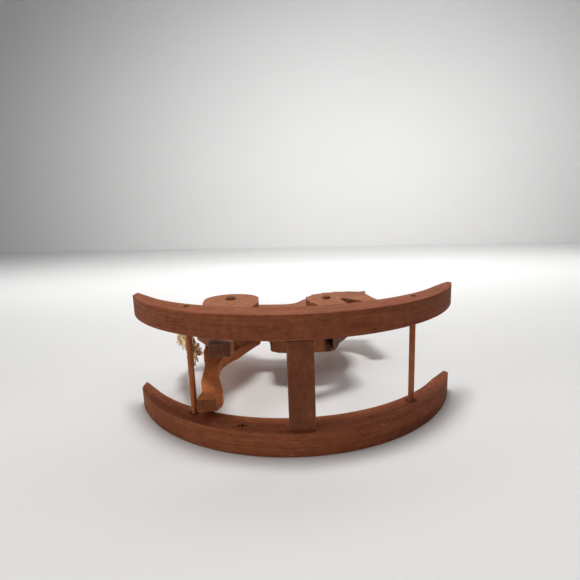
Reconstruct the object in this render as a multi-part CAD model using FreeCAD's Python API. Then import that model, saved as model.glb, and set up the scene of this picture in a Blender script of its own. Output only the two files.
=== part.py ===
"""Wooden rocking horse: two curved rockers, two cross dowels, a slat and a board-cut horse.

Millimetres, +Z up, +X towards the horse's head, +Y to the horse's left.
The origin is on the floor, midway between the rockers, at the bottom of the running arc.
"""
import math
import os

import FreeCAD
import Part
from FreeCAD import Vector

os.makedirs("parts", exist_ok=True)

# Rockers
RUN_R = 201.5            # radius of the running edge
TOP_R = 204.1            # radius of the upper, concave edge
ROCKER_DEPTH = 30.2      # board depth at the bottom of the arc
ROCKER_HALF_LEN = 185.5  # centre to tip
ROCKER_T = 24.0          # board thickness
HALF_W = 68.0            # centre plane to a rocker's outer face
TIP_R = 1.6              # rounded tips
FRONT_TIP = (182.5, 129.0)   # the front tips are pared down to this corner
PARED_FROM = 158.0       # where the paring of the upper edge begins
FRONT_END = 185.675      # end of the running edge before its corner is rounded
REAR_TIP = (-185.5, 140.5)   # and the rear tips to this one
REAR_PARED_FROM = -160.0
EDGE_R = 1.0             # eased edges of the boards

# Cross pieces
DOWEL_R = 3.0
DOWEL_SINK = 2.2         # the dowel ends stop short of the outer faces
REAR_DOWEL = (-109.6, 51.2)
FRONT_DOWEL = (115.8, 54.2)
SLAT_X = (-14.2, 10.3)
SLAT_Z = (4.0, 11.5)
SLAT_BEVEL = 2.4         # worn corner, widest at the right rocker
SLAT_PIN_R = 2.5
SLAT_PIN_IN = 10.0       # how far a pin goes into the slat and into the rocker

# Horse
BODY_HALF_T = 21.3       # half the thickness of the body board
LEG_T = 12.3             # thickness of a leg board
LEG_OUT = 34.0           # centre plane to a leg's outer face
HIP = (-88.0, 243.5)
SHOULDER = (50.0, 223.0)
HIP_PEG_R = 6.4
SHOULDER_PEG_R = 4.2
PEG_PROUD = 3.4          # pegs stand proud of the legs
PEG_IN_BODY = 14.0       # blind depth of a peg in the body board
RUN_FIT = 0.06           # radial clearance of a leg that turns on its peg
HEAD_R = 4.9             # slightly wider end of a shoulder peg, which keeps its leg on
HEAD_T = 3.2
BRAD_R = 0.9             # brad in the middle of each peg
BRAD_HEAD_R = 1.3
BRAD_HEAD_T = 0.5
BRAD_LEN = 14.0

# Slanted pins, from each rocker's upper edge up into the hind leg beside it, at 45 degrees
PIN_R = 2.6
PIN_Y = (26.0, 58.0)     # a pin's two ends, from the centre plane
PIN_LEFT = (-93.0, 102.6)    # x of a pin, and the height where its line meets the centre plane
PIN_RIGHT = (-81.0, 97.0)

# Tail
TAIL_HOLE_R = 4.0
TAIL_MOUTH = (-138.2, 231.0)     # where the strands leave the rump
TAIL_DIP = math.radians(-38.0)   # the hole points down and back
TAIL_HOLE_DEPTH = 26.0
TAIL_PLUG_LEN = 14.0
TAIL_NECK_R = 3.9
TAIL_NECK_LEN = 9.0
BINDING_R = 5.1
BINDING_LEN = 5.5
# Centre line and radius of the hank of strands below its neck
TAIL_RUN = [(-147.5, 219.5, 5.4), (-149, 203, 7.2), (-142.5, 178, 8.2), (-132, 150, 8.4), (-121.5, 122, 7.6),
            (-113.5, 90, 4.0)]


def vec(x, z, y=0.0):
    return Vector(x, y, z)


def plate(edges, y0, y1):
    """A board: a closed outline in XZ made solid from y0 to y1."""
    wire = Part.Wire(Part.__sortEdges__(edges))
    return Part.Face(wire).extrude(Vector(0, y1 - y0, 0)).translated(Vector(0, y0, 0))


def outline(points):
    """Edges through (x, z) points. A third value turns the run to that point into an arc bulge."""
    edges = []
    for i, here in enumerate(points):
        there = points[(i + 1) % len(points)]
        a, b = vec(here[0], here[1]), vec(there[0], there[1])
        if len(there) == 3:
            span = b - a
            side = Vector(-span.z, 0, span.x).normalize() * there[2]
            edges.append(Part.Arc(a, (a + b) * 0.5 + side, b).toShape())
        else:
            edges.append(Part.LineSegment(a, b).toShape())
    return edges


def rod(x, z, r, y0, y1):
    return Part.makeCylinder(r, y1 - y0, Vector(x, y0, z), Vector(0, 1, 0))


def ease(solid, r, y_faces):
    """Round the long edges that lie in the given Y planes."""
    picked = []
    for edge in solid.Edges:
        box = edge.BoundBox
        flat = box.YLength < 1e-6
        if flat and any(abs(box.YMin - y) < 1e-6 for y in y_faces):
            picked.append(edge)
    return solid.makeFillet(r, picked)


def hoof_pin(spot, side):
    """A pin on a line that leans 45 degrees from the rocker, up and in towards the leg."""
    low_y, high_y = PIN_Y
    start = Vector(spot[0], side * low_y, spot[1] - low_y)
    return Part.makeCylinder(PIN_R, (high_y - low_y) * math.sqrt(2), start, Vector(0, side, -1))


def brad(spot, side, top):
    """A small nail whose head lies on the end of a peg."""
    y0, y1 = sorted((side * (top - BRAD_LEN), side * top))
    h0, h1 = sorted((side * top, side * (top + BRAD_HEAD_T)))
    shank = rod(spot[0], spot[1], BRAD_R, y0, y1)
    return shank, rod(spot[0], spot[1], BRAD_HEAD_R, h0, h1)


def arc_z(r, depth, x):
    """Height of an edge of the rocker at x."""
    return depth + r - math.sqrt(r * r - x * x)


def rocker(y0, y1):
    x = ROCKER_HALF_LEN
    low = arc_z(RUN_R, 0.0, x)
    front = vec(FRONT_END, arc_z(RUN_R, 0.0, FRONT_END))
    pared = vec(PARED_FROM, arc_z(TOP_R, ROCKER_DEPTH, PARED_FROM))
    tip = vec(*FRONT_TIP)
    rear_pared = vec(REAR_PARED_FROM, arc_z(TOP_R, ROCKER_DEPTH, REAR_PARED_FROM))
    rear_tip = vec(*REAR_TIP)
    edges = [
        Part.Arc(vec(-x, low), vec(0, 0), front).toShape(),
        Part.LineSegment(front, tip).toShape(),
        Part.LineSegment(tip, pared).toShape(),
        Part.Arc(pared, vec(0, ROCKER_DEPTH), rear_pared).toShape(),
        Part.LineSegment(rear_pared, rear_tip).toShape(),
        Part.LineSegment(rear_tip, vec(-x, low)).toShape(),
    ]
    solid = plate(edges, y0, y1)
    tips = [e for e in solid.Edges if e.BoundBox.YLength > 1.0 and abs(e.BoundBox.XMin) > x - 4]
    solid = solid.makeFillet(TIP_R, tips)
    return ease(solid, EDGE_R, (y0, y1))


def save(name, shape):
    shape = shape.removeSplitter()
    if len(shape.Solids) == 1:
        shape = shape.Solids[0]
    shape.exportStep("parts/" + name + ".step")
    print(name, shape.isValid(), len(shape.Solids), round(shape.Volume, 1))


# Horse outlines, (x, z) and an optional bulge of the run that ends there
BODY = [
    (-48, 256), (-9, 250.5, -1.0), (6, 255, -0.8), (15, 268, -0.8), (26, 286, 0.3), (26, 297),
    (38, 309), (37, 315), (56, 322.5), (55, 327), (77, 328.5), (76, 333), (99, 328), (98, 332.5),
    (118, 323.5), (130, 329.5), (124.5, 301), (128, 278, 0.6), (131.5, 260), (134, 245, 0.6),
    (129, 234.5, 2.8), (117, 234, 0.8), (110, 241, 1.6), (104, 258, -0.8), (93, 270, 1.0),
    (77, 280, -1.0), (81.5, 252, -1.6), (82, 228, 1.2), (79, 214, 0.6), (61.5, 184, 0.8),
    (49, 152.5, 0.8), (47.5, 184), (44, 186.5, 0.6), (41.5, 184, 0.6), (37, 153, 4.5),
    (10, 151.5, 1.0), (-17, 155.5, 0.6), (-26.5, 160.5, 0.9), (-31.5, 170, 1.6), (-33, 199, -0.6),
    (-40, 208, -2.6), (-51, 203, -2.0), (-73, 184, -0.8), (-92, 176), (-113, 189, 1.2),
    (-127, 213, 0.8), (-137.5, 229, 0.6), (-136, 243, 2.2), (-118, 258, 1.4), (-88, 264, 1.4),
]
HAUNCH = [(-122.5, 205), (-126.3, 240, 1.0), (-86.5, 282, 13.4), (-47.4, 238, 12.6)]
LEFT_SHANK = [
    (-53, 226, 1.0), (-64, 202), (-76, 175), (-88, 154, -1.0), (-93, 130, -1.6), (-92, 107), (-88, 86),
    (-81, 58), (-79.6, 41, 1.0), (-83.8, 32.2), (-102.5, 32.2), (-100.5, 52), (-106, 77),
    (-109.5, 124), (-119, 171), (-120.5, 186, 1.0),
]
RIGHT_SHANK = [
    (-47.6, 214, 0.5), (-51.5, 196, 0.8), (-58, 176, 0.4), (-70, 156, -0.6), (-83, 134, -1.2),
    (-87, 107), (-79, 85),
    (-69, 62), (-65, 46, 1.0), (-66.5, 31), (-87, 31), (-88, 47), (-91, 61), (-101.5, 78),
    (-110, 93), (-112.5, 124, 1.0), (-119, 171), (-120.5, 186, 1.0),
]
FORE_TUCKED = [
    (51, 189), (40, 188), (20, 192), (0, 196.5, -0.6), (-15, 194.5), (-28, 198), (-25, 219),
    (-12, 216), (0, 211.5, -0.8), (22, 214, -0.8), (33, 228, -1.6), (50, 240.5, 4.0),
    (67, 223, 5.0), (63.5, 208, 0.6), (57, 196, 0.4),
]
FORE_HANGING = [
    (21, 225), (24.5, 235, 0.8), (36, 243.5, 1.2), (50, 246.5, 1.0), (61, 241.5, 1.2), (67.5, 229, 1.2),
    (69.5, 186, 0.8), (73.5, 166), (73, 150, 1.2), (65, 138, 1.2), (48, 127), (30, 119.5, -0.8),
    (14, 110), (4, 122), (12, 132), (28, 136.5), (42, 149, -1.0), (41, 163, 1.0), (35, 177),
    (25.5, 198, -1.6),
]


def leg(points, y_in, y_out):
    lo, hi = min(y_in, y_out), max(y_in, y_out)
    return plate(outline(points), lo, hi)


# Rockers, with through holes for the dowels and blind holes for the hoof pins and slat pins
INNER = HALF_W - ROCKER_T
slat_mid_z = (SLAT_Z[0] + SLAT_Z[1]) / 2
for name, side, pin in (("rocker_left", 1, PIN_LEFT), ("rocker_right", -1, PIN_RIGHT)):
    y0, y1 = sorted((side * INNER, side * HALF_W))
    board = rocker(y0, y1)
    for x, z in (REAR_DOWEL, FRONT_DOWEL):
        board = board.cut(rod(x, z, DOWEL_R, y0 - 1, y1 + 1))
    board = board.cut(hoof_pin(pin, side))
    p0, p1 = sorted((side * (INNER - 1), side * (INNER + SLAT_PIN_IN)))
    for x in (SLAT_X[0] + 6, SLAT_X[1] - 6):
        board = board.cut(rod(x, slat_mid_z, SLAT_PIN_R, p0, p1))
    if side == 1:
        for x, z, r in ((-62.3, 19.2, 0.8), (-58.7, 20.2, 1.4), (-55.1, 19.1, 0.8)):
            board = board.cut(rod(x, z, r, INNER - 1, INNER + 5))
    save(name, board)

# Cross dowels
for name, (x, z) in (("rear_cross_dowel", REAR_DOWEL), ("front_cross_dowel", FRONT_DOWEL)):
    save(name, rod(x, z, DOWEL_R, -HALF_W + DOWEL_SINK, HALF_W - DOWEL_SINK))

# Slat between the inner faces, one front corner worn away towards the right rocker
slat = Part.makeBox(SLAT_X[1] - SLAT_X[0], 2 * INNER, SLAT_Z[1] - SLAT_Z[0],
                    Vector(SLAT_X[0], -INNER, SLAT_Z[0]))
worn_top = Part.Wire(Part.makePolygon([
    vec(SLAT_X[0] - 1, SLAT_Z[0] - 1, -INNER - 0.1),
    vec(SLAT_X[0] + SLAT_BEVEL, SLAT_Z[0] - 1, -INNER - 0.1),
    vec(SLAT_X[0] - 1, SLAT_Z[0] + SLAT_BEVEL, -INNER - 0.1),
    vec(SLAT_X[0] - 1, SLAT_Z[0] - 1, -INNER - 0.1)]))
worn_low = Part.Wire(Part.makePolygon([
    vec(SLAT_X[0] - 1, SLAT_Z[0] - 1, INNER + 0.1),
    vec(SLAT_X[0] + 0.3, SLAT_Z[0] - 1, INNER + 0.1),
    vec(SLAT_X[0] - 1, SLAT_Z[0] + 0.3, INNER + 0.1),
    vec(SLAT_X[0] - 1, SLAT_Z[0] - 1, INNER + 0.1)]))
slat = slat.cut(Part.makeLoft([worn_top, worn_low], True))
pins = []
for side in (1, -1):
    for x in (SLAT_X[0] + 6, SLAT_X[1] - 6):
        y0, y1 = sorted((side * (INNER - SLAT_PIN_IN), side * (INNER + SLAT_PIN_IN)))
        pin = rod(x, slat_mid_z, SLAT_PIN_R, y0, y1)
        slat = slat.cut(pin)
        pins.append(pin)
save("centre_slat", slat)
save("slat_pins", Part.makeCompound(pins))

# Body board with peg holes and the tail hole
body = plate(outline(BODY), -BODY_HALF_T, BODY_HALF_T)
for side in (1, -1):
    y0, y1 = sorted((side * (BODY_HALF_T - PEG_IN_BODY), side * (BODY_HALF_T + 1)))
    body = body.cut(rod(HIP[0], HIP[1], HIP_PEG_R, y0, y1))
    body = body.cut(rod(SHOULDER[0], SHOULDER[1], SHOULDER_PEG_R, y0, y1))
tail_dir = Vector(-math.cos(TAIL_DIP), 0, math.sin(TAIL_DIP))
tail_mouth = vec(*TAIL_MOUTH)
beyond = tail_mouth + tail_dir * 12
body = body.cut(Part.makeCylinder(TAIL_HOLE_R, TAIL_HOLE_DEPTH + 12, beyond, tail_dir * -1))
save("horse_body", body)

brads = {"hip": [], "shoulder": []}

# Hind legs, glued flat on the body board and pegged at the hip
leg_in = LEG_OUT - LEG_T
for name, side, points, pin in (("left", 1, LEFT_SHANK, PIN_LEFT), ("right", -1, RIGHT_SHANK, PIN_RIGHT)):
    board = leg(HAUNCH + points, side * BODY_HALF_T, side * LEG_OUT)
    y0, y1 = sorted((side * (BODY_HALF_T - 1), side * (LEG_OUT + 1)))
    board = board.cut(rod(HIP[0], HIP[1], HIP_PEG_R, y0, y1))
    board = board.cut(hoof_pin(pin, side))
    save("hind_leg_" + name, board)
    y0, y1 = sorted((side * (BODY_HALF_T - PEG_IN_BODY), side * (LEG_OUT + PEG_PROUD)))
    peg = ease(rod(HIP[0], HIP[1], HIP_PEG_R, y0, y1), 0.8, (side * (LEG_OUT + PEG_PROUD),))
    shank, head = brad(HIP, side, LEG_OUT + PEG_PROUD)
    save("hip_peg_" + name, peg.cut(shank))
    brads["hip"].append(shank.fuse(head))
    save("hoof_pin_" + name, hoof_pin(pin, side))

# Fore legs, each turning on its own headed peg
for name, side, points in (("left", 1, FORE_TUCKED), ("right", -1, FORE_HANGING)):
    board = leg(points, side * leg_in, side * LEG_OUT)
    y0, y1 = sorted((side * (leg_in - 1), side * (LEG_OUT + 1)))
    board = board.cut(rod(SHOULDER[0], SHOULDER[1], SHOULDER_PEG_R + RUN_FIT, y0, y1))
    save("fore_leg_" + name, board)
    y0, y1 = sorted((side * (BODY_HALF_T - PEG_IN_BODY), side * (LEG_OUT + 0.3)))
    shank = rod(SHOULDER[0], SHOULDER[1], SHOULDER_PEG_R, y0, y1)
    y0, y1 = sorted((side * (LEG_OUT + 0.3), side * (LEG_OUT + 0.3 + HEAD_T)))
    head = rod(SHOULDER[0], SHOULDER[1], HEAD_R, y0, y1)
    head = ease(head, 0.8, (side * (LEG_OUT + 0.3 + HEAD_T),))
    nail, nail_head = brad(SHOULDER, side, LEG_OUT + 0.3 + HEAD_T)
    save("shoulder_peg_" + name, shank.fuse(head).cut(nail))
    brads["shoulder"].append(nail.fuse(nail_head))

for name, pair in brads.items():
    save(name + "_brads", Part.makeCompound(pair))

# Tail: plug and packed strand ends in the hole, then the hank with a thread binding round its neck
deep = tail_mouth - tail_dir * TAIL_HOLE_DEPTH
save("tail_plug", Part.makeCylinder(TAIL_HOLE_R, TAIL_PLUG_LEN, deep, tail_dir))
packed = deep + tail_dir * TAIL_PLUG_LEN
packed_len = TAIL_HOLE_DEPTH - TAIL_PLUG_LEN - 1.0
save("tail_strand_ends", Part.makeCylinder(TAIL_HOLE_R, packed_len, packed, tail_dir))

start = tail_mouth + tail_dir * 0.6
neck = Part.makeCylinder(TAIL_NECK_R, TAIL_NECK_LEN, start, tail_dir)
centres = [start + tail_dir * TAIL_NECK_LEN] + [vec(x, z) for x, z, r in TAIL_RUN]
radii = [TAIL_NECK_R] + [r for x, z, r in TAIL_RUN]
rings = []
for i, (centre, r) in enumerate(zip(centres, radii)):
    before = centres[max(i - 1, 0)]
    after = centres[min(i + 1, len(centres) - 1)]
    along = tail_dir if i == 0 else after - before
    rings.append(Part.Wire(Part.makeCircle(r, centre, along)))
save("tail_hank", neck.fuse(Part.makeLoft(rings, True)))
sleeve_start = start + tail_dir * 2.0
sleeve = Part.makeCylinder(BINDING_R, BINDING_LEN, sleeve_start, tail_dir)
save("tail_binding", sleeve.cut(Part.makeCylinder(TAIL_NECK_R, BINDING_LEN, sleeve_start, tail_dir)))
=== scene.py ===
"""A small hand-made rocking horse of stained wood, lying on its side on a pale table."""
import math
import random

import bpy
from mathutils import Matrix, Vector


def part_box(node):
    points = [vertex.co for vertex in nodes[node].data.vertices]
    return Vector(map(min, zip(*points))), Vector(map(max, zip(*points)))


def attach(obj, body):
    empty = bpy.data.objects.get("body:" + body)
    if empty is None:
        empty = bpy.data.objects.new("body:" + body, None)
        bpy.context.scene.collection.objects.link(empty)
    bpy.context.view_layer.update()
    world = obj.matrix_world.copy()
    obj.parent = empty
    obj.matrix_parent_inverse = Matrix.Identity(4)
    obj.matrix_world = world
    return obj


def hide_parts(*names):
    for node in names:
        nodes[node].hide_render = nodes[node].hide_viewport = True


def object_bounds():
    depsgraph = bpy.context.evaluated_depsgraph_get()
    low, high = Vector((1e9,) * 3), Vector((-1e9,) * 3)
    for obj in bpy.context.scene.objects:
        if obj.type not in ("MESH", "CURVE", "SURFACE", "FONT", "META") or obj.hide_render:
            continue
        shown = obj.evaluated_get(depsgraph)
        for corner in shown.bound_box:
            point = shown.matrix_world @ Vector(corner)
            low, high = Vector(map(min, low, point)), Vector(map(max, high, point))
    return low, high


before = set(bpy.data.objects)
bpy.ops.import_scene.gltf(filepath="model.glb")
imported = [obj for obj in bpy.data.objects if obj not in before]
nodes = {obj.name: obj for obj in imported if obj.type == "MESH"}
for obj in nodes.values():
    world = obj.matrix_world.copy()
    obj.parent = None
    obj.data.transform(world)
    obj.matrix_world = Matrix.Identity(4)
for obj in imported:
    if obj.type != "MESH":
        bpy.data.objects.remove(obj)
cad_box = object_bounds()
scene = bpy.context.scene
scene.view_settings.view_transform = "Standard"

# ---------------------------------------------------------------- camera
# The rockers' running faces look at the camera, and the horse's right side is uppermost.
camera = bpy.data.objects.new("camera", bpy.data.cameras.new("camera"))
scene.collection.objects.link(camera)
scene.camera = camera
camera.data.sensor_width = 36
camera.data.lens = 24.83
camera.data.clip_start = 0.01
EYE = (-0.02157, -0.1515, -0.3334)
RIGHT = Vector((0.99853, 0.03361, -0.04243))
UP = Vector((0.04080, -0.98249, 0.18179))
camera.matrix_world = Matrix.Translation(EYE) @ Matrix((RIGHT, UP, RIGHT.cross(UP))).transposed().to_4x4()


# ---------------------------------------------------------------- node helpers
class Tree:
    """A material's node tree, built one call at a time."""

    def __init__(self, name):
        self.material = bpy.data.materials.new(name)
        self.material.use_nodes = True
        self.tree = self.material.node_tree
        self.tree.nodes.clear()

    def add(self, kind, links=None, **settings):
        node = self.tree.nodes.new("ShaderNode" + kind)
        for key, value in settings.items():
            setattr(node, key, value)
        for key, value in (links or {}).items():
            socket = node.inputs[key]
            if isinstance(value, bpy.types.NodeSocket):
                self.tree.links.new(value, socket)
            else:
                socket.default_value = value
        return node

    def math(self, operation, a, b=0.0, clamp=False):
        return self.add("Math", {0: a, 1: b}, operation=operation, use_clamp=clamp).outputs[0]

    def plus(self, a, b, clamp=False):
        return self.math("ADD", a, b, clamp)

    def minus(self, a, b):
        return self.math("SUBTRACT", a, b)

    def times(self, a, b):
        return self.math("MULTIPLY", a, b)

    def ramp(self, value, low, high, to_low=0.0, to_high=1.0):
        """A smooth step from to_low, where the value is low, to to_high, where it is high."""
        links = {"Value": value, "From Min": low, "From Max": high, "To Min": to_low, "To Max": to_high}
        return self.add("MapRange", links, interpolation_type="SMOOTHSTEP").outputs["Result"]

    def noise(self, vector, scale, detail, roughness, distortion=0.0):
        links = {
            "Vector": vector, "Scale": scale, "Detail": detail,
            "Roughness": roughness, "Distortion": distortion,
        }
        return self.add("TexNoise", links).outputs["Fac"]

    def mix(self, factor, a, b):
        """The colour a, turning to b as the factor goes from 0 to 1."""
        node = self.add("Mix", data_type="RGBA")
        for socket, value in ((node.inputs[0], factor), (node.inputs[6], a), (node.inputs[7], b)):
            if isinstance(value, bpy.types.NodeSocket):
                self.tree.links.new(value, socket)
            elif socket.type == "RGBA":
                socket.default_value = (*value, 1.0)
            else:
                socket.default_value = value
        return node.outputs[2]

    def finish(self, shader):
        self.add("OutputMaterial", {"Surface": shader.outputs[0]})
        return self.material


def shade(colour, share):
    """The colour darkened to a share of itself."""
    return [c * share for c in colour]


def along_arc(t, place, centre_z):
    """Coordinates that run round a rocker: distance along its running edge, place across the board, and
    distance out from the arc's centre. The running edge starts at z 0, so centre_z is also its radius."""
    at = t.add("SeparateXYZ", {0: place}).outputs
    down = t.minus(centre_z, at[2])
    angle = t.math("ARCTAN2", at[0], down)
    out = t.math("SQRT", t.plus(t.times(at[0], at[0]), t.times(down, down)))
    return t.add("CombineXYZ", {0: t.times(angle, centre_z), 1: at[1], 2: out}).outputs[0]


def wood(name, along, colours, shift, turn=(0, 0, 0), wear=0.6, scuff=0.3, fine=1.0, figured=0.35,
         grain=0.6, gloss=0.2, spots=(), rubbed_at=(), rough=0.62, end_from=0.72, arc=None):
    """Stained close-grained wood. along is the axis the grain follows, colours run dark, main, light, and
    shift and turn place the grain. spots are (centre, radius, strength) of dark marks: real stains round
    joints, and painted shade in nail holes, a slot and round pegs, and a painted shadow along the slat's
    edge. rubbed_at is the same for scuffed patches. arc is the height of a rocker's centre, where the
    grain follows the curve. end_from is how square to the grain a face is before it darkens."""
    dark, main, light = colours
    t = Tree(name)
    coords = t.add("TexCoord")
    place = coords.outputs["Object"]
    base = along_arc(t, place, arc) if arc else place
    turned = t.add("Mapping", {"Vector": base, "Rotation": turn, "Location": shift}).outputs[0]

    def stretched(lengthways, across):
        scale = [across] * 3
        scale["XYZ".index(along)] = lengthways
        return t.add("Mapping", {"Vector": turned, "Scale": scale}).outputs[0]

    def near(centre, radius, ragged):
        far = t.add("VectorMath", {0: place, 1: centre}, operation="DISTANCE").outputs["Value"]
        far = t.plus(far, t.times(t.minus(blotch, 0.5), radius * ragged))
        return t.ramp(far, radius, radius * 0.45)

    figure = t.noise(stretched(5, 52), 1.0, 3, 0.5, 0.9)
    fibre = t.noise(stretched(16, 470 * fine), 1.0, 6, 0.62, 0.3)
    pores = t.noise(stretched(95, 1500 * fine), 1.0, 3, 0.6)
    blotch = t.noise(turned, 120.0, 4, 0.65)
    patch = t.noise(turned, 13.0, 2, 0.5)
    tone = t.plus(t.times(fibre, grain), t.times(figure, figured))
    tone = t.plus(tone, t.times(blotch, 0.5))
    balance = 0.5 * (grain + figured + 0.5)
    colour = t.mix(t.ramp(tone, balance - 0.22, balance + 0.02), dark, main)
    colour = t.mix(t.ramp(tone, balance - 0.02, balance + 0.24), colour, light)
    pore_mask = t.ramp(pores, 0.56, 0.70)
    colour = t.mix(t.times(pore_mask, 0.45), colour, shade(dark, 0.35))
    deep = t.times(t.ramp(patch, 0.50, 0.70), 0.35)
    colour = t.mix(deep, colour, shade(main, 0.62))

    # end grain drinks more stain
    normal = t.add("SeparateXYZ", {0: coords.outputs["Normal"]}).outputs
    end = t.ramp(t.math("ABSOLUTE", normal["XYZ".index(along)]), end_from, 0.98)
    speck = t.ramp(t.noise(turned, 900.0, 3, 0.6), 0.42, 0.66, 0.6, 0.95)
    colour = t.mix(t.times(end, speck), colour, shade(dark, 0.25))

    # worn and rubbed edges, where the stain has gone thin
    rounded = t.add("Bevel", {"Radius": 0.0006}, samples=4)
    wide = t.add("Bevel", {"Radius": 0.0014}, samples=6)
    flat = t.add("NewGeometry").outputs["Normal"]
    dot = t.add("VectorMath", {0: wide.outputs[0], 1: flat}, operation="DOT_PRODUCT").outputs["Value"]
    edge = t.ramp(dot, 0.995, 0.86)
    rubbed = t.ramp(t.noise(turned, 150.0, 5, 0.65), 0.38, 0.62)
    worn = t.times(t.times(edge, rubbed), wear)
    pale = [min(1.0, c * k) for c, k in zip(light, (1.5, 2.0, 2.6))]
    colour = t.mix(worn, colour, pale)

    # light scuffs and scratches across the finish
    slanted = {"Vector": turned, "Rotation": (0.5, 0.7, 0.4), "Scale": (90, 900, 420)}
    scratches = t.noise(t.add("Mapping", slanted).outputs[0], 1.0, 4, 0.7)
    where = t.ramp(t.noise(turned, 42.0, 3, 0.5), 0.54, 0.70)
    for spot in rubbed_at:
        where = t.math("MAXIMUM", where, t.times(near(*spot[:2], 0.9), spot[2]))
    marks = t.times(t.times(t.ramp(scratches, 0.56, 0.67), where), scuff)
    colour = t.mix(marks, colour, pale)

    # painted shade gathered in the corners and recesses, though not on the faces that lie on a table
    open_air = t.add("AmbientOcclusion", {"Distance": 0.045}, samples=8).outputs["AO"]
    corner_shade = t.times(t.ramp(open_air, 0.50, 0.12, 0.0, 0.9), t.ramp(normal[1], 0.8, 0.4))
    colour = t.mix(corner_shade, colour, shade(dark, 0.12))

    # dark spots: real stains at joints, and painted shade and painted shadow at holes, the slot, the pegs
    # and the slat's edge
    for spot in spots:
        spot_dark = t.times(near(*spot[:2], 0.8), spot[2])
        colour = t.mix(spot_dark, colour, shade(dark, 0.25))

    shine = t.ramp(fibre, 0.3, 0.75, rough + 0.10, rough - 0.05)
    shine = t.plus(shine, t.times(t.plus(worn, marks), 0.22), clamp=True)
    height = t.minus(t.times(fibre, 0.6), t.times(pore_mask, 0.5))
    height = t.plus(height, t.times(blotch, 1.2))
    relief = {"Strength": 0.5, "Distance": 0.0004, "Height": height, "Normal": rounded.outputs[0]}
    bump = t.add("Bump", relief)
    links = {
        "Base Color": colour, "Roughness": shine, "Normal": bump.outputs[0],
        "Specular IOR Level": gloss,
    }
    return t.finish(t.add("BsdfPrincipled", links))


def steel(name):
    """A small steel brad head, dulled and rusted in patches."""
    t = Tree(name)
    place = t.add("TexCoord").outputs["Object"]
    rust = t.ramp(t.noise(place, 900.0, 4, 0.7), 0.45, 0.62)
    colour = t.mix(rust, (0.16, 0.145, 0.135), (0.075, 0.036, 0.020))
    metal = t.ramp(rust, 0.0, 1.0, 0.9, 0.25)
    rough = t.ramp(rust, 0.0, 1.0, 0.36, 0.75)
    bump = t.add("Bump", {"Strength": 0.4, "Distance": 0.0001, "Height": t.noise(place, 2600.0, 3, 0.6)})
    links = {"Base Color": colour, "Metallic": metal, "Roughness": rough, "Normal": bump.outputs[0]}
    return t.finish(t.add("BsdfPrincipled", links))


def fibre_material(name, dark, light, pale, twist=900.0, bleached=None):
    """Plant-fibre twine: hairs that are darker where the stain caught them, and pale where they have
    frayed, at an x lower than the one given as bleached."""
    t = Tree(name)
    place = t.add("TexCoord").outputs["Object"]
    stained = t.noise(place, 75.0, 3, 0.6)
    drawn_out = t.add("Mapping", {"Vector": place, "Scale": (twist, twist * 0.8, 140)}).outputs[0]
    hair = t.noise(drawn_out, 1.0, 4, 0.65)
    colour = t.mix(t.ramp(stained, 0.42, 0.64), dark, light)
    colour = t.mix(t.ramp(hair, 0.48, 0.72), colour, pale)
    if bleached:
        outward = t.add("SeparateXYZ", {0: place}).outputs[0]
        colour = t.mix(t.ramp(outward, bleached + 0.009, bleached, 0.0, 0.85), colour, pale)
    height = t.add("Bump", {"Strength": 0.7, "Distance": 0.0003, "Height": hair})
    rough = t.ramp(hair, 0.3, 0.7, 0.78, 0.55)
    links = {
        "Base Color": colour, "Roughness": rough, "Normal": height.outputs[0],
        "Sheen Weight": 0.05, "Sheen Roughness": 0.5, "Subsurface Weight": 0.08, "Subsurface Scale": 0.001,
    }
    return t.finish(t.add("BsdfPrincipled", links))


def plain_stage(name, colour):
    """A pale surface seen and lit from its front only."""
    t = Tree(name)
    place = t.add("TexCoord").outputs["Object"]
    tint = t.mix(t.noise(place, 2.2, 3, 0.5), colour, shade(colour, 0.965))
    fine = t.add("Bump", {"Strength": 0.05, "Distance": 0.0005, "Height": t.noise(place, 260.0, 4, 0.6)})
    links = {
        "Base Color": tint, "Roughness": 0.55, "Normal": fine.outputs[0], "Specular IOR Level": 0.25,
    }
    front = t.add("BsdfPrincipled", links).outputs[0]
    behind = t.add("NewGeometry").outputs["Backfacing"]
    clear = t.add("BsdfTransparent").outputs[0]
    return t.finish(t.add("MixShader", {0: behind, 1: front, 2: clear}))


# ---------------------------------------------------------------- wood for each part
# Stain colours, as dark, main and light.
RED = ((0.175, 0.046, 0.020), (0.275, 0.081, 0.035), (0.365, 0.125, 0.057))
# This palette is RED made a little darker: painted shade for the lower rocker, which lies in the shade of
# the upper one.
RED_SHADED = ((0.170, 0.044, 0.019), (0.270, 0.078, 0.033), (0.360, 0.122, 0.054))
BODY = ((0.205, 0.060, 0.024), (0.335, 0.116, 0.046), (0.435, 0.178, 0.078))
WARM = ((0.280, 0.078, 0.024), (0.430, 0.128, 0.040), (0.530, 0.195, 0.066))
# This palette is WARM made brighter: painted light for the left hind leg, which lies in the shade of the
# upper rocker and the body.
WARM_LIT = ((0.340, 0.093, 0.030), (0.540, 0.163, 0.048), (0.660, 0.245, 0.082))
BROWN = ((0.130, 0.038, 0.016), (0.200, 0.058, 0.023), (0.280, 0.094, 0.040))


def middle(node, y):
    """The middle of a node in x and z, at the y given."""
    low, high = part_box(node)
    centre = (low + high) / 2
    centre.y = y
    return centre


def peg_rim(node):
    """The middle of a right-hand peg, on the face of the leg it comes through."""
    return middle(node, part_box("hind_leg_right")[0].y)


def dress(material, *names):
    """Give CAD nodes a material in place of their own."""
    for name in names:
        mesh = nodes[name].data
        mesh.materials.clear()
        mesh.materials.append(material)


# The height of the centre of the rockers' arc, and the x, z and radius of the painted shade in each nail
# hole.
ROCKER_CENTRE = 0.2015
NAIL_HOLES = ((-0.0623, 0.0192, 0.0019), (-0.0587, 0.0202, 0.0026), (-0.0551, 0.0191, 0.0019))
END_DEPTH = 0.0018
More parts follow.
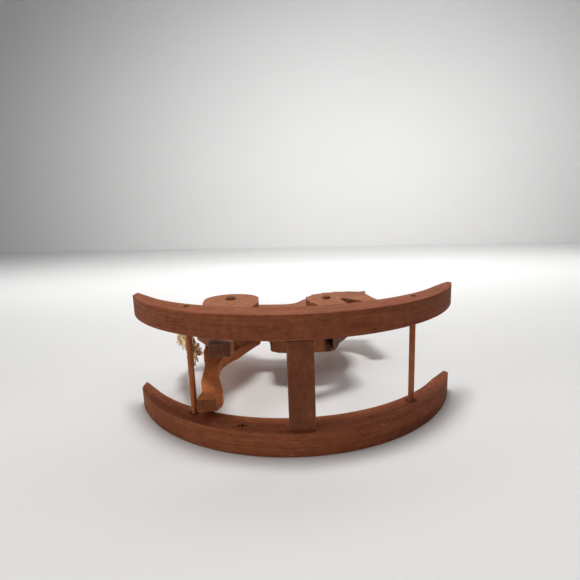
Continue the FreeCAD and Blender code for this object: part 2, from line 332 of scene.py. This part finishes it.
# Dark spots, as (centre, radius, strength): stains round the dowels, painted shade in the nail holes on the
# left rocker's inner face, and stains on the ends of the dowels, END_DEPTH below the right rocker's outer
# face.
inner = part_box("rocker_left")[0].y
dowel_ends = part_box("rocker_right")[0].y + END_DEPTH
joints = [
    (middle("rear_cross_dowel", inner), 0.0075, 0.75),
    (middle("front_cross_dowel", inner), 0.0085, 0.75),
]
# Painted shade in the nail holes.
holes = [((x, inner, z), radius, 0.95) for x, z, radius in NAIL_HOLES]
ends = [
    (middle("rear_cross_dowel", dowel_ends), 0.0048, 0.95),
    (middle("front_cross_dowel", dowel_ends), 0.0048, 0.9),
]
# Scuffed patches on the rockers' running edges, listed the same way.
kicked_left = [((-0.014, inner + 0.011, 0.001), 0.020, 1.0), ((-0.080, inner + 0.004, 0.020), 0.016, 0.6)]
kicked_right = [((-0.002, -inner, 0.0), 0.03, 1.0)]
dress(
    wood("rocker_wood_left", "X", RED_SHADED, (3.1, 0.4, 1.7), wear=0.4, gloss=0.08, scuff=0.8,
         spots=joints + holes, rubbed_at=kicked_left, end_from=0.96, arc=ROCKER_CENTRE),
    "rocker_left",
)
dress(
    wood("rocker_wood_right", "X", RED, (0.3, 2.2, 5.9), wear=0.4, gloss=0.1, scuff=0.45,
         spots=ends, rubbed_at=kicked_right, end_from=0.96, arc=ROCKER_CENTRE),
    "rocker_right",
)
dress(
    wood("dowel_wood", "Y", WARM, (1.3, 0.6, 0.2), wear=0.2, fine=1.5, spots=ends, rough=0.45),
    "rear_cross_dowel", "front_cross_dowel", "slat_pins", "tail_plug",
)
# A painted shadow: a dark line of eight spots along the slat's joint with the right rocker, where the
# rocker's edge shades the slat.
SHADOW_STEP = 0.0035
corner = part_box("centre_slat")[0]
slat_edge_shadow = [((corner.x + k * SHADOW_STEP, corner.y, corner.z), 0.0026, 0.95) for k in range(8)]
dress(
    wood("slat_wood", "Y", BROWN, (7.7, 3.1, 0.9), turn=(0.3, 0, 0), wear=0.9, scuff=0.6,
         figured=0.1, grain=0.4, spots=slat_edge_shadow),
    "centre_slat",
)
# Painted shade in the narrow slot in the body's underside, between the belly and the chest.
slot = [((0.0445, y, 0.174), 0.0165, 0.95) for y in (-0.014, 0.0, 0.014)]
dress(
    wood("horse_wood", "X", BODY, (2.2, 8.1, 3.0), turn=(0, 0.12, 0), spots=slot),
    "horse_body",
)
dress(
    wood("hind_leg_wood_left", "Z", WARM_LIT, (5.2, 1.1, 6.0), turn=(0, -0.35, 0), wear=0.4,
         figured=0.15, grain=0.45),
    "hind_leg_left",
)
# The dark ring round the hip peg is painted shade, where the peg's side is in shadow.
dress(
    wood("hind_leg_wood_right", "Z", BODY, (1.2, 3.1, 2.0), turn=(0, -0.35, 0), wear=0.5, figured=0.2,
         spots=[(peg_rim("hip_peg_right"), 0.0125, 0.95)]),
    "hind_leg_right",
)
# The dark ring round the shoulder peg is painted shade, where the peg's side is in shadow.
dress(
    wood("fore_leg_wood", "Z", BODY, (0.2, 4.1, 2.0), turn=(0, 0.45, 0), wear=0.5, figured=0.25,
         spots=[(peg_rim("shoulder_peg_right"), 0.0095, 0.95)]),
    "fore_leg_left", "fore_leg_right",
)
dress(wood("pin_wood", "Y", BROWN, (0.9, 6.1, 2.4), wear=0.2), "hoof_pin_left", "hoof_pin_right")
dress(
    wood("peg_wood", "Y", BODY, (4.4, 0.3, 7.0), wear=0.5, scuff=0.2, fine=1.4),
    "hip_peg_left", "hip_peg_right", "shoulder_peg_left", "shoulder_peg_right",
)
dress(steel("brad_steel"), "hip_brads", "shoulder_brads")

# ---------------------------------------------------------------- tail
# The hank leaves its plug, droops, and frays at its lower end, as (x, z, radius) in metres.
TAIL_PATH = (
    (-0.1382, 0.2310, 0.0030), (-0.1475, 0.2195, 0.0050), (-0.1490, 0.2030, 0.0066),
    (-0.1425, 0.1780, 0.0076), (-0.1320, 0.1500, 0.0080), (-0.1215, 0.1220, 0.0074),
    (-0.1135, 0.0900, 0.0050),
)
ACROSS = Vector((0, 1, 0))
STRAND_POINTS = 22
# A strand thins from this point on, by this share over this many points.
THIN_FROM, THIN_BY, THIN_OVER = 18, 0.35, 12
NUDGE = 0.02     # how far to look along the hank, each way, for the way it runs
CURL_POINTS = 8
CURL_ANGLE = math.radians(300)


def on_path(u):
    """The hank's centre and radius at u, from 0 at the plug to 1 at the tip, on a smooth curve."""
    last = len(TAIL_PATH) - 1
    i = min(int(u * last), last - 1)
    f = u * last - i
    around = [TAIL_PATH[max(0, min(last, k))] for k in (i - 1, i, i + 1, i + 2)]
    found = []
    for a, b, c, d in zip(*around):
        bend = (2 * a - 5 * b + 4 * c - d) * f * f
        found.append(0.5 * (2 * b + (c - a) * f + bend + (3 * b - a - 3 * c + d) * f ** 3))
    return Vector((found[0], 0.0, found[1])), found[2]


def curl(rng, points):
    """The points of a loop that carries on from the end of a strand."""
    tip, run = points[-1], (points[-1] - points[-4]).normalized()
    size = rng.uniform(0.0030, 0.0055)
    bend = Vector((rng.uniform(-1, 1), rng.uniform(-0.5, 0.9), rng.uniform(-0.2, 0.6)))
    bend = (bend - run * bend.dot(run)).normalized()
    turned = [k / CURL_POINTS * CURL_ANGLE for k in range(1, CURL_POINTS + 1)]
    return [tip + run * math.sin(a) * size * 1.35 + bend * (1 - math.cos(a)) * size for a in turned]


def strands(name, count, seed, thickness, start, stops, spread, loops=0.0, angles=(0, math.tau), flare=0.0):
    """Bevelled hairs along the hank, each with its own wander. They run from start to somewhere in stops,
    where 0 is the plug and 1 the tip. spread is how much of the hank's radius they fill, and loops the
    share of them that curl back at the end. angles limits the side they lie on, and flare spreads them."""
    rng = random.Random(seed)
    curve = bpy.data.curves.new(name, "CURVE")
    curve.dimensions = "3D"
    curve.bevel_depth = thickness
    curve.bevel_resolution = 1
    curve.resolution_u = 3
    for _ in range(count):
        angle = rng.uniform(*angles)
        out = math.sqrt(rng.uniform(0.02, 1)) * spread
        stop = rng.uniform(*stops)
        turns = rng.uniform(-0.9, 0.9)
        waves = [(rng.uniform(3, 11), rng.uniform(0, math.tau), rng.uniform(0.05, 0.20)) for _ in range(3)]
        points = []
        for k in range(STRAND_POINTS):
            u = start + (stop - start) * k / (STRAND_POINTS - 1)
            centre, radius = on_path(u)
            ahead, _ = on_path(min(1.0, u + NUDGE))
            back, _ = on_path(max(0.0, u - NUDGE))
            run = (ahead - back).normalized()
            side = run.cross(ACROSS).normalized()
            a = angle + turns * u * 3
            wobble = sum(w * math.sin(f * u * 2 + p) for f, p, w in waves)
            away = (side * math.cos(a) + ACROSS * math.sin(a)) * radius * (out * 0.86 + wobble)
            away *= 1 + flare * (k / (STRAND_POINTS - 1)) ** 2
            points.append(centre + away)
        if rng.random() < loops:
            points += curl(rng, points)
        spline = curve.splines.new("NURBS")
        spline.points.add(len(points) - 1)
        for k, point in enumerate(points):
            spline.points[k].co = (*point, 1.0)
            thinning = 1.0 - THIN_BY * max(0, k - THIN_FROM) / THIN_OVER
            spline.points[k].radius = rng.uniform(0.8, 1.15) * thinning
        spline.order_u = 3
        spline.use_endpoint_u = True
    piece = bpy.data.objects.new(name, curve)
    scene.collection.objects.link(piece)
    return piece


straw = fibre_material(
    "straw_twine", (0.075, 0.024, 0.006), (0.72, 0.36, 0.10), (1.0, 0.78, 0.46), bleached=-0.137
)
tail = strands(
    "tail_twine", count=34, seed=5, thickness=0.00095, start=0.0, stops=(0.70, 0.92), spread=0.95,
    loops=0.45,
)
tail.data.materials.append(straw)
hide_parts("tail_hank")
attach(tail, "tail")
wisps = strands(
    "tail_wisps", count=90, seed=8, thickness=0.00026, start=0.0, stops=(0.55, 0.95), spread=1.05
)
wisps.data.materials.append(straw)
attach(wisps, "tail")
tuft = strands(
    "tail_tuft", count=70, seed=12, thickness=0.0004, start=0.30, stops=(0.52, 0.66), spread=1.05,
    angles=(2.4, 3.9), flare=0.75,
)
tuft.data.materials.append(straw)
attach(tuft, "tail")
dress(straw, "tail_strand_ends")
thread = fibre_material(
    "binding_thread", (0.20, 0.12, 0.06), (0.52, 0.38, 0.22), (0.75, 0.62, 0.42), twist=1600.0
)
dress(thread, "tail_binding")

# ---------------------------------------------------------------- stage and light
# The toy lies on its left side, so the table is the plane at the highest y, and up is towards lower y.
table = cad_box[1].y
HALF_WIDTH, TABLE_NEAR, WALL_TOP = 4, -3, -5
# How far off along z the foot of the wall is, at each end.
WALL_LEFT, WALL_RIGHT = 3.42, 1.57


def panel(name, corners, material):
    """A flat stage surface that casts no shadow."""
    mesh = bpy.data.meshes.new(name)
    mesh.from_pydata(corners, [], [(0, 1, 2, 3)])
    mesh.materials.append(material)
    obj = bpy.data.objects.new(name, mesh)
    scene.collection.objects.link(obj)
    obj.visible_shadow = False


wall_foot = [(HALF_WIDTH, table, WALL_RIGHT), (-HALF_WIDTH, table, WALL_LEFT)]
panel(
    "table", [(-HALF_WIDTH, table, TABLE_NEAR), (HALF_WIDTH, table, TABLE_NEAR), *wall_foot],
    plain_stage("table_top", (0.80, 0.795, 0.79)),
)
panel(
    "wall",
    [*reversed(wall_foot), (HALF_WIDTH, WALL_TOP, WALL_RIGHT), (-HALF_WIDTH, WALL_TOP, WALL_LEFT)],
    plain_stage("wall_paint", (0.84, 0.835, 0.83)),
)


def lamp(name, place, target, size, power, colour=(1, 1, 1)):
    """A soft lamp at place that shines towards target, unseen by the camera."""
    data = bpy.data.lights.new(name, "AREA")
    data.shape = "RECTANGLE"
    data.size, data.size_y = size
    data.energy = power
    data.color = colour
    obj = bpy.data.objects.new(name, data)
    scene.collection.objects.link(obj)
    obj.location = place
    obj.rotation_euler = (Vector(target) - Vector(place)).to_track_quat("-Z", "Y").to_euler()
    obj.visible_camera = False


lamp("overhead", (-0.05, -1.5, 0.12), (0, 0, 0.12), (0.35, 0.3), 14.0, (1.0, 0.99, 0.97))
lamp("left_fill", (-1.2, -0.8, -0.9), (0, 0, 0.1), (0.8, 0.8), 7)
lamp("right_fill", (1.3, -1.2, 0.9), (0.1, 0, 0.3), (0.8, 0.8), 4.5)
lamp("back_glow", (0.0, -1.8, 1.2), (0, 0.2, 1.9), (2.4, 1.0), 10)
lamp("wall_wash", (0.0, -0.8, 1.0), (0, 0.2, 2.1), (3.4, 0.7), 15)
lamp("far_side", (0.3, 1.4, 0.7), (0, 0, 0.15), (1.4, 1.2), 1.5)
lamp("high", (0.2, -0.2, 1.5), (0, 0, 0.15), (1.2, 1.2), 0.6)

world = bpy.data.worlds.new("studio")
scene.world = world
world.use_nodes = True
background = world.node_tree.nodes["Background"].inputs
background["Color"].default_value = (0.93, 0.94, 0.95, 1)
background["Strength"].default_value = 0.13
